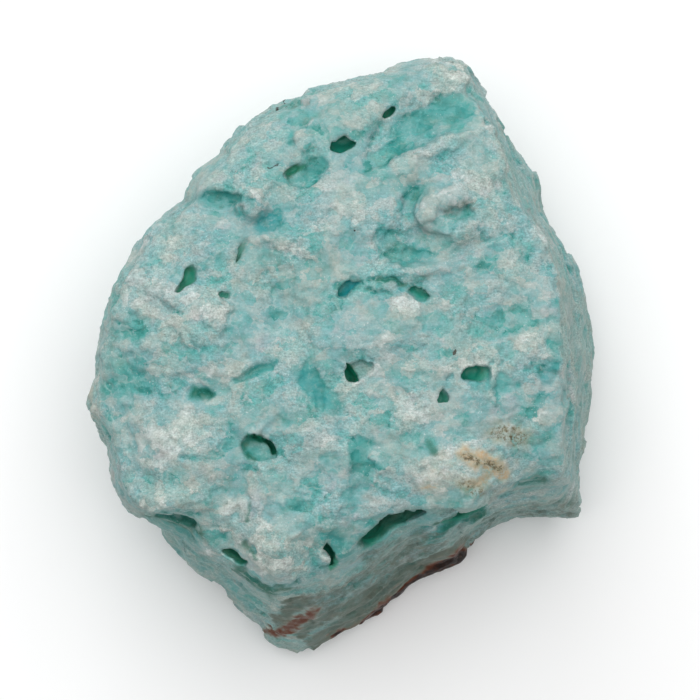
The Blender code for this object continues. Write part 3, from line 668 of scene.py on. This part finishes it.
# Strokes of colour: level and width in mm, strength, then the line through the stroke in dots.
STROKES = {
    "ochre": {
        "west": (35.5, 1.2, 0.9, [(463, 455), (474, 462)]),
        "east": (34.5, 1.2, 1.0, [(482, 457), (492, 463), (503, 474)]),
        "low": (34.5, 1.0, 0.8, [(489, 470), (485, 482), (470, 484)]),
        "north": (34.0, 1.4, 0.35, [(496, 434), (526, 436)]),
        "line": (34.0, 0.35, 0.8, [(422, 487), (436, 485)]),
        "blush": (34.0, 1.6, 0.3, [(427, 484), (441, 470), (450, 461)]),
        "blush_tip": (28.0, 1.0, 0.5, [(90, 392), (93, 410)]),
    },
    "olive": {
        "west_core": (35.5, 0.6, 1.0, [(464, 458), (477, 462)]),
        "east_core": (34.5, 0.6, 1.0, [(487, 461), (501, 469)]),
        "specks": (34.0, 1.2, 0.75, [(463, 484), (478, 490)]),
        "north": (34.0, 1.5, 0.85, [(497, 432), (520, 437)]),
        "north_line": (34.0, 0.5, 0.8, [(496, 427), (512, 428)]),
    },
    # The iron rind along the foot; its darkest end is also painted shade, at the foot's lower edge.
    "iron": {
        "rind_west": (6.0, 0.9, 0.9, [(335, 643), (358, 632), (384, 612)]),
        "rind": (6.0, 1.4, 1.0, [(384, 612), (402, 598), (430, 580)]),
        "rind_east": (6.0, 1.8, 1.0, [(430, 580), (448, 568), (468, 552)]),
        "heel": (13.0, 0.9, 0.62, [(270, 638), (292, 624), (314, 608)]),
    },
    # Painted shade on the foot and under the cave, which face away from the light; the nodule stroke
    # gives its dimple a darker brownish middle.
    "shade": {
        "heel": (20.0, 1.0, 0.8, [(280, 622), (294, 606), (312, 600)]),
        "heel_low": (15.0, 0.9, 0.8, [(300, 634), (318, 620), (338, 606)]),
        "foot": (8.0, 1.8, 0.9, [(318, 644), (350, 624), (380, 600)]),
        "foot_high": (10.0, 3.4, 0.85, [(356, 618), (400, 586), (452, 552)]),
        "foot_middle": (18.0, 4.2, 0.55, [(330, 604), (372, 574), (420, 552)]),
        "foot_east": (15.0, 3.6, 0.45, [(452, 552), (500, 532), (560, 518)]),
        "cave": (24.0, 1.4, 0.5, [(368, 556), (392, 546), (420, 536)]),
        "nodule": (34.0, 0.9, 0.42, [(446, 210), (470, 206)]),
    },
    "soot": {
        # The tiny hole and the edge pit are painted shade, dark dots for a hole and a pit; the rest are
        # black specks of the mineral.
        "tiny_hole_painted_shade": (35.5, 0.22, 0.9, [(456, 351), (455, 355)]),
        "edge_pit_painted_shade": (33.5, 0.3, 0.7, [(562, 317), (562, 319)]),
        "speck_a": (27.5, 0.25, 1.0, [(284, 104), (285, 104)]),
        "speck_b": (27.5, 0.25, 0.9, [(277, 109), (278, 109)]),
        "speck_c": (33.5, 0.2, 0.7, [(267, 137), (268, 138)]),
        "speck_d": (35.5, 0.2, 0.8, [(354, 232), (355, 232)]),
        "speck_e": (33.5, 0.2, 0.8, [(550, 265), (551, 266)]),
        "speck_line": (35.0, 0.2, 0.6, [(266, 167), (278, 166)]),
    },
    # Teal of the clear mineral; the lobe and rib_shade strokes, under ledges, are painted shade as well.
    "sea": {
        "scoop": (34.0, 1.8, 0.6, [(398, 139), (428, 119), (464, 112)]),
        "drop": (34.0, 0.5, 0.9, [(291, 134), (290, 146)]),
        "arch": (34.0, 1.3, 0.8, [(292, 181), (303, 172), (316, 164)]),
        "lobe": (34.0, 0.6, 0.5, [(202, 198), (241, 198)]),
        "cream_ring": (34.0, 0.3, 0.6, [(236, 200), (249, 198), (252, 206), (246, 214), (237, 211)]),
        "vein_high": (34.0, 0.9, 0.5, [(262, 262), (272, 248), (280, 236)]),
        "slot_smear": (34.0, 0.7, 0.5, [(199, 270), (220, 259)]),
        "pool": (34.0, 1.5, 0.5, [(388, 238), (396, 256), (425, 258)]),
        "groove": (34.0, 0.6, 0.9, [(276, 361), (257, 369), (238, 380)]),
        "notch_high": (34.0, 0.5, 0.8, [(199, 374), (212, 382)]),
        "notch": (34.0, 0.8, 1.0, [(196, 394), (210, 394)]),
        "facet": (34.0, 1.4, 0.8, [(304, 373), (312, 388), (322, 400), (334, 406)]),
        "court": (34.0, 0.9, 0.6, [(478, 386), (504, 384)]),
        "east_strip": (33.0, 0.6, 0.8, [(553, 346), (554, 366)]),
        "oval": (34.0, 1.2, 0.6, [(252, 446), (264, 452)]),
        "vein_south": (34.0, 1.2, 0.6, [(364, 442), (361, 470), (351, 495)]),
        "corner": (32.0, 0.6, 0.8, [(518, 483), (546, 480)]),
        "south_east": (26.0, 0.9, 0.8, [(449, 527), (462, 519), (482, 512)]),
        "rib_shade": (25.0, 0.6, 1.0, [(427, 543), (440, 531), (449, 524)]),
        "cave_mouth": (33.0, 1.6, 0.7, [(372, 540), (395, 525), (420, 517)]),
        "hook_slope": (32.0, 1.5, 1.0, [(327, 536), (342, 549)]),
        "left_slope": (26.0, 1.7, 0.7, [(158, 524), (176, 528), (192, 536)]),
        "left_face": (17.0, 3.6, 0.35, [(160, 532), (196, 562), (234, 604)]),
    },
    "blue": {
        "notch": (34.0, 1.1, 1.0, [(263, 224), (275, 219)]),
        "crack": (34.0, 0.4, 0.6, [(393, 290), (403, 288)]),
        "edge": (34.0, 0.7, 0.5, [(543, 378), (554, 370)]),
        "facet": (34.0, 1.0, 0.7, [(306, 377), (312, 390), (322, 397)]),
    },
    # Painted shade in dark green: cracks, notches, small holes, and the ground under ledges and lumps.
    "deep": {
        "arch": (34.0, 0.35, 1.0, [(287, 176), (291, 170), (304, 166)]),
        "crack": (34.0, 0.25, 0.9, [(376, 281), (392, 280), (404, 286)]),
        "notch": (34.0, 0.7, 1.0, [(197, 393), (210, 394)]),
        "crust": (34.0, 0.5, 0.9, [(430, 445), (434, 452)]),
        "oval_ring": (34.0, 0.34, 1.0, [(254, 458), (247, 453), (242, 446), (249, 437), (262, 438)]),
        "streak": (33.0, 0.25, 0.7, [(252, 503), (247, 522)]),
        "corner": (32.0, 0.45, 0.7, [(518, 484), (544, 481)]),
        "east": (26.0, 0.5, 0.9, [(445, 528), (458, 517), (484, 511)]),
        "cave": (32.0, 0.9, 0.9, [(365, 541), (378, 530)]),
        "left_lip": (29.0, 0.5, 0.9, [(150, 518), (186, 521), (198, 528)]),
        "lump": (29.0, 0.6, 0.9, [(240, 569), (258, 585), (270, 595), (287, 588)]),
        "lump_gap": (32.0, 0.3, 0.8, [(243, 541), (256, 557)]),
    },
}


def neighbour_mean(values, edges, count):
    """For each point, the mean of the points that it shares an edge with."""
    total = np.zeros_like(values)
    np.add.at(total, edges[:, 0], values[edges[:, 1]])
    np.add.at(total, edges[:, 1], values[edges[:, 0]])
    return total / count[:, None]


def remember(obj, name, values):
    """Keeps a value for each point of the mesh, which the material reads by name."""
    layer = obj.data.attributes.new(name, "FLOAT", "POINT")
    layer.data.foreach_set("value", np.clip(values, -1.0, 1.0).astype(np.float32))


edges = np.empty(len(chunk.data.edges) * 2, np.int32)
chunk.data.edges.foreach_get("vertices", edges)
edges = edges.reshape(-1, 2)
edge_count = np.bincount(edges.ravel(), minlength=len(points)).astype(float)
normals = normals_of(chunk)
eased = points.copy()
for turn in range(1, BROAD_TURNS + 1):
    eased = neighbour_mean(eased, edges, edge_count)
    if turn == FINE_TURNS:
        fine_relief = ((points - eased) * normals).sum(axis=1)
broad_relief = ((points - eased) * normals).sum(axis=1)

remember(chunk, "fine_relief", fine_relief / FINE_SPAN)
remember(chunk, "broad_relief", broad_relief / BROAD_SPAN)
remember(chunk, "grey_side_shading", grey_side_shading)
remember(chunk, "tone", tone / TONE_SPAN)
remember(chunk, "crusty", crusty)
remember(chunk, "hollow", hollow)
remember(chunk, "hollow_blue", hollow_blue)

stroke_places = warped[:, :2] * STROKE_WANDER + points[:, :2] * (1.0 - STROKE_WANDER)
for axis in (0, 1):
    stroke_places[:, axis] += SIDE_WANDER * side * waves(points, SIDE_WANDER_SIZE, 61 + axis)
for kind, lines in STROKES.items():
    strongest = np.zeros(len(points))
    for level, width, strength, dots in lines.values():
        line = [from_plan(dot, level) for dot in dots]
        away = np.abs(line_distance(stroke_places, line)[0])
        off_level = np.abs(points[:, 2] - level)
        reach = 1.0 - smooth_step(*STROKE_EDGE, away / width)
        reach *= 1.0 - smooth_step(*STROKE_REACH.get(kind, USUAL_REACH), off_level)
        strongest = np.maximum(strongest, strength * reach * (1.0 - under))
    remember(chunk, kind, strongest)

# The underside and the sides take the larger triangles.
coarser = smooth_step(*THINNED_EDGE, under + SIDE_THINNED * side)
weigh(chunk, "coarser", LEAST_THINNED + (1.0 - LEAST_THINNED) * coarser)
thin = chunk.modifiers.new("thin", "DECIMATE")
thin.use_collapse_triangulate = True
thin.vertex_group = "coarser"
thin.ratio = SKIN_TRIANGLES / (2 * len(chunk.data.polygons))
apply_all(chunk)
select_only(chunk)
bpy.ops.object.shade_smooth()


# ---- Blue aragonite ----------------------------------------------------------------------------------
# Massive blue aragonite, coloured by traces of copper, broken and unpolished: clear sea blue in the
# hollows, a milky skin of fine crystals on all that stands proud, waxy to dull, with earthy iron stains.
FLAKE_WANDER = 0.9 * MM  # how far the edges of the flakes wander


def hex_colour(code):
    """An sRGB hex colour as the linear values that the shader takes."""
    channels = [int(code[i : i + 2], 16) / 255 for i in (1, 3, 5)]
    return tuple(c / 12.92 if c <= 0.04045 else ((c + 0.055) / 1.055) ** 2.4 for c in channels) + (1.0,)


def add_node(tree, kind, settings=None, **inputs):
    """Adds a node, with settings as its attributes and inputs as values or the sockets that feed them.

    An input is named as in Blender, with _ for each space, or is its number after an i.
    """
    new = tree.nodes.new(kind)
    for name, value in (settings or {}).items():
        setattr(new, name, value)
    for name, value in inputs.items():
        key = int(name[1:]) if name[0] == "i" and name[1:].isdigit() else name.replace("_", " ")
        if isinstance(value, bpy.types.NodeSocket):
            tree.links.new(value, new.inputs[key])
        else:
            new.inputs[key].default_value = value
    return new


material = bpy.data.materials.new("broken_blue_aragonite")
material.use_nodes = True
tree = material.node_tree
tree.nodes.clear()
place = add_node(tree, "ShaderNodeTexCoord").outputs["Object"]


def attribute(name):
    return add_node(tree, "ShaderNodeAttribute", {"attribute_name": name}).outputs["Fac"]


def math_node(operation, a, b):
    return add_node(tree, "ShaderNodeMath", {"operation": operation}, i0=a, i1=b).outputs[0]


def times(a, b):
    return math_node("MULTIPLY", a, b)


def rest_of(value):
    return math_node("SUBTRACT", 1.0, value)


def summed(*values):
    total = values[0]
    for value in values[1:]:
        total = math_node("ADD", total, value)
    return total


def centred(value, amount):
    """A value from 0 to 1, moved to lie round 0 with this amount from its lowest to its highest."""
    return times(math_node("SUBTRACT", value, 0.5), amount)


def noise_node(size_mm, detail=4.0, roughness=0.55, vector=None):
    settings = {"Scale": 1 / (size_mm * MM), "Detail": detail, "Roughness": roughness}
    return add_node(tree, "ShaderNodeTexNoise", Vector=vector or place, **settings).outputs["Fac"]


def mixed(factor, a, b, blend="MIX"):
    """Mixes two colours, each a hex code or a socket."""
    a, b = [hex_colour(c) if isinstance(c, str) else c for c in (a, b)]
    settings = {"data_type": "RGBA", "blend_type": blend, "clamp_factor": True}
    return add_node(tree, "ShaderNodeMix", settings, i0=factor, i6=a, i7=b).outputs[2]


def colour_ramp(value, stops):
    ramp = add_node(tree, "ShaderNodeValToRGB", Fac=value)
    while len(ramp.color_ramp.elements) < len(stops):
        ramp.color_ramp.elements.new(0.5)
    for element, (position, code) in zip(ramp.color_ramp.elements, stops):
        element.position = position
        element.color = hex_colour(code)
    return ramp.outputs["Color"]


def between(value, low, high):
    """A factor that rises from 0 at low to 1 at high."""
    smooth = {"interpolation_type": "SMOOTHSTEP"}
    rise = add_node(tree, "ShaderNodeMapRange", smooth, Value=value, From_Min=low, From_Max=high)
    return rise.outputs[0]


def drawn_out(scale):
    """The place, with patterns on it drawn out along the axes whose scale is under 1."""
    return add_node(tree, "ShaderNodeMapping", Vector=place, Scale=scale).outputs["Vector"]


def flakes(size_mm):
    """A value from 0 to 1 for each flake of crust, with crisp and wandering edges."""
    cells = add_node(tree, "ShaderNodeTexVoronoi", Vector=wandering_place, Scale=1 / (size_mm * MM))
    return add_node(tree, "ShaderNodeSeparateColor", Color=cells.outputs["Color"]).outputs[0]


flat_place = drawn_out((0.65, 1.0, 1.0))
streak_place = drawn_out((0.4, 1.0, 1.0))
bed_place = drawn_out((0.12, 0.12, 1.0))
drift = add_node(
    tree, "ShaderNodeTexNoise", Vector=place, Scale=1 / (1.1 * MM), Detail=4.0, Roughness=0.6
)
drift_mm = add_node(
    tree,
    "ShaderNodeMapping",
    Vector=drift.outputs["Color"],
    Location=(-FLAKE_WANDER,) * 3,
    Scale=(2 * FLAKE_WANDER,) * 3,
).outputs["Vector"]
wandering_place = add_node(
    tree, "ShaderNodeVectorMath", {"operation": "ADD"}, i0=flat_place, i1=drift_mm
).outputs["Vector"]
fine = attribute("fine_relief")
broad = attribute("broad_relief")
grey_shaded_side = attribute("grey_side_shading")
grain = noise_node(0.5, 4.0, 0.7, flat_place)
grit = noise_node(0.22, 2.0, 0.6)
streaks = noise_node(0.25, 3.0, 0.7, streak_place)
bed_lines = noise_node(0.7, 3.0, 0.5, bed_place)
flaky_crust = summed(centred(flakes(3.0), 0.3), centred(flakes(1.4), 0.38), centred(flakes(0.7), 0.14))

# From clear blue mineral, 0, to milky crust, 1.
milkiness = summed(
    times(attribute("tone"), 0.42),
    flaky_crust,
    centred(noise_node(1.5, 4.0, 0.6, flat_place), 0.4),
    centred(grain, 0.16),
    times(centred(bed_lines, 0.7), grey_shaded_side),
    times(fine, 0.08),
    times(broad, 0.11),
    0.5,
)
clear_to_milky = [
    (0.0, "#2a8780"),
    (0.2, "#5aa5a0"),
    (0.45, "#86b0af"),
    (0.62, "#9cb6b3"),
    (0.8, "#aebbb6"),
    (1.0, "#cbd0cb"),
]
colour = colour_ramp(milkiness, clear_to_milky)

# Beds differ a little in tint: bluer, greener, a few lilac.
tint = between(summed(noise_node(7.0, 3.0, 0.5), centred(noise_node(1.8, 2.0, 0.5), 0.5)), 0.35, 0.65)
colour = mixed(1.0, colour, mixed(tint, "#f3fbff", "#f8fdfb"), "MULTIPLY")
lilac = between(noise_node(4.0, 3.0, 0.6), 0.58, 0.72)
colour = mixed(times(lilac, 0.35), colour, "#b9b6bc")
# The sides are greyer, partly their own grey and partly painted shade, most where they face away from the
# light.
colour = mixed(times(grey_shaded_side, 0.55), colour, "#98afa7")

# The grain is lighter and darker rather than bluer, and pale specks are painted highlights where crystal
# flakes would catch the light.
contrast = summed(centred(grit, 1.1), centred(streaks, 1.0), centred(grain, 0.5))
lightness = summed(times(contrast, summed(times(attribute("crusty"), 0.6), 0.4)), 0.94)
grey = add_node(tree, "ShaderNodeCombineColor", i0=lightness, i1=lightness, i2=lightness)
colour = mixed(1.0, colour, grey.outputs["Color"], "MULTIPLY")
painted_glint = between(noise_node(0.28, 1.0, 0.5), 0.66, 0.74)
painted_glint = times(painted_glint, between(noise_node(2.4, 2.0, 0.6), 0.42, 0.62))
colour = mixed(times(painted_glint, 0.45), colour, "#dbe2e0")

# Pale veins follow the edges of the larger flakes.
cells = add_node(
    tree,
    "ShaderNodeTexVoronoi",
    {"feature": "DISTANCE_TO_EDGE"},
    Vector=wandering_place,
    Scale=1 / (2.4 * MM),
)
vein = rest_of(between(cells.outputs["Distance"], 0.0, 0.09))
vein = times(vein, between(noise_node(3.0, 3.0, 0.6), 0.45, 0.6))
vein = times(vein, rest_of(grey_shaded_side))
colour = mixed(times(vein, 0.3), colour, "#c5d3cf")

# Clear glassy spots and the insides of pores, then painted shade: dark green in crevices and under
# ledges, and in the broad hollows of the relief.
speckle = noise_node(0.35, 3.0, 0.7)
glassy = between(summed(speckle, centred(flakes(1.0), 0.3)), 0.15, 0.65)
colour = mixed(times(attribute("sea"), glassy), colour, "#3c9793")
colour = mixed(times(attribute("blue"), glassy), colour, "#2a9193")
# Painted shade in crevices, cracks and under the lips of ledges.
colour = mixed(times(attribute("deep"), between(speckle, 0.1, 0.5)), colour, "#146a5a")
pore_colour = mixed(attribute("hollow_blue"), "#1c8a6e", "#218f94")
colour = mixed(attribute("hollow"), colour, pore_colour)
# Painted shade in the broad hollows: a darker green over the clear mineral there.
colour = mixed(times(between(broad, -0.3, -1.0), 0.8), colour, "#1b7a6a")

# Earthy stains: ochre, olive, black specks and dark brown iron crust, all broken up by the grain; the
# foot also gets painted shade.
broken_up = between(summed(speckle, centred(grain, 1.2)), 0.28, 0.7)
ochre = attribute("ochre")
colour = mixed(times(ochre, between(noise_node(1.2, 3.0, 0.6), 0.2, 0.7)), colour, "#bdb299")
colour = mixed(times(times(between(ochre, 0.5, 1.0), broken_up), 0.65), colour, "#b69468")
olive = attribute("olive")
colour = mixed(times(olive, between(noise_node(0.8, 3.0, 0.6), 0.3, 0.7)), colour, "#93937a")
specks = between(summed(olive, centred(noise_node(0.4, 4.0, 0.75), 2.2)), 0.7, 1.2)
colour = mixed(times(specks, 0.9), colour, "#544a30")
colour = mixed(between(summed(attribute("soot"), centred(grain, 0.8)), 0.4, 0.6), colour, "#26312f")
# Painted shade, dark grey green, on the foot and under the cave, and a darker middle to the nodule's
# dimple.
shade = between(summed(attribute("shade"), centred(noise_node(1.3, 4.0, 0.7), 1.3)), 0.1, 0.85)
colour = mixed(times(shade, 0.78), colour, "#46513f")
# The iron rind is a real brown crust; its darkest, near black end is painted shade along the foot's lower
# edge.
iron = summed(attribute("iron"), centred(noise_node(1.4, 4.0, 0.65), 0.9), centred(bed_lines, 0.5))
colour = mixed(times(between(iron, -0.1, 0.5), 0.5), colour, "#87806c")
rust_and_painted_shade = mixed(between(iron, 0.55, 1.05), "#693822", "#1d0e08")
colour = mixed(between(iron, 0.2, 0.7), colour, rust_and_painted_shade)

# The finest relief is a bump, and crust is duller than the clear mineral.
bumps = summed(noise_node(0.9, 5.0, 0.7), times(grain, 0.5), times(grit, 0.2), times(flaky_crust, 0.6))
bump = add_node(tree, "ShaderNodeBump", Height=bumps, Strength=0.6, Distance=0.16 * MM)
dullness = between(summed(milkiness, centred(noise_node(3.0, 2.0, 0.5), 0.6)), 0.1, 0.8)
shader = add_node(
    tree,
    "ShaderNodeBsdfPrincipled",
    Base_Color=colour,
    Roughness=summed(times(dullness, 0.3), 0.38),
    Specular_IOR_Level=0.35,
    Normal=bump.outputs["Normal"],
    Subsurface_Weight=0.2,
    Subsurface_Radius=(0.6, 1.0, 0.95),
    Subsurface_Scale=0.8 * MM,
)
add_node(tree, "ShaderNodeOutputMaterial", Surface=shader.outputs["BSDF"])
chunk.data.materials.append(material)

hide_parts("raw_blue_aragonite")
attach(chunk, "root")


# ---- The stage ---------------------------------------------------------------------------------------
# A plain pale sheet, a camera straight above the chunk, and soft studio light from above and from the
# side of the blunt point, so that the broken faces at the foot fall into shade.
bpy.ops.mesh.primitive_plane_add(size=4.0, location=(0, 0, 0))
floor = bpy.context.object
floor.name = "pale_sheet"
board = bpy.data.materials.new("matt_white_board")
board.use_nodes = True
board_shader = board.node_tree.nodes["Principled BSDF"]
board_shader.inputs["Base Color"].default_value = (0.97, 0.97, 0.97, 1.0)
board_shader.inputs["Roughness"].default_value = 0.9
floor.data.materials.append(board)


def soft_light(name, place, size, power):
    """A square softbox that looks at the chunk."""
    bpy.ops.object.light_add(type="AREA", location=place)
    light = bpy.context.object
    light.name = name
    light.data.size = size
    light.data.energy = power
    light.rotation_euler = (-Vector(place)).to_track_quat("-Z", "Y").to_euler()


soft_light("overhead_softbox", (0.0, 0.26, 0.9), 1.2, 10.2)
soft_light("point_side_softbox", (-0.2, 0.8, 0.45), 0.5, 1.5)

world = bpy.data.worlds.new("studio_air")
bpy.context.scene.world = world
world.use_nodes = True
background = world.node_tree.nodes["Background"]
background.inputs["Color"].default_value = (1.0, 1.0, 1.0, 1.0)
background.inputs["Strength"].default_value = 0.28

below_eye = from_plan(PLAN_MIDDLE, PLAN_LEVEL)
eye = Vector((below_eye.x, below_eye.y, EYE_HEIGHT)) * MM
bpy.ops.object.camera_add(location=eye, rotation=(0, 0, 0))
camera = bpy.context.object
camera.data.lens = 200.0
camera.data.sensor_width = 36.0
camera.data.clip_start = 0.01
bpy.context.scene.camera = camera
bpy.context.scene.view_settings.view_transform = "Standard"
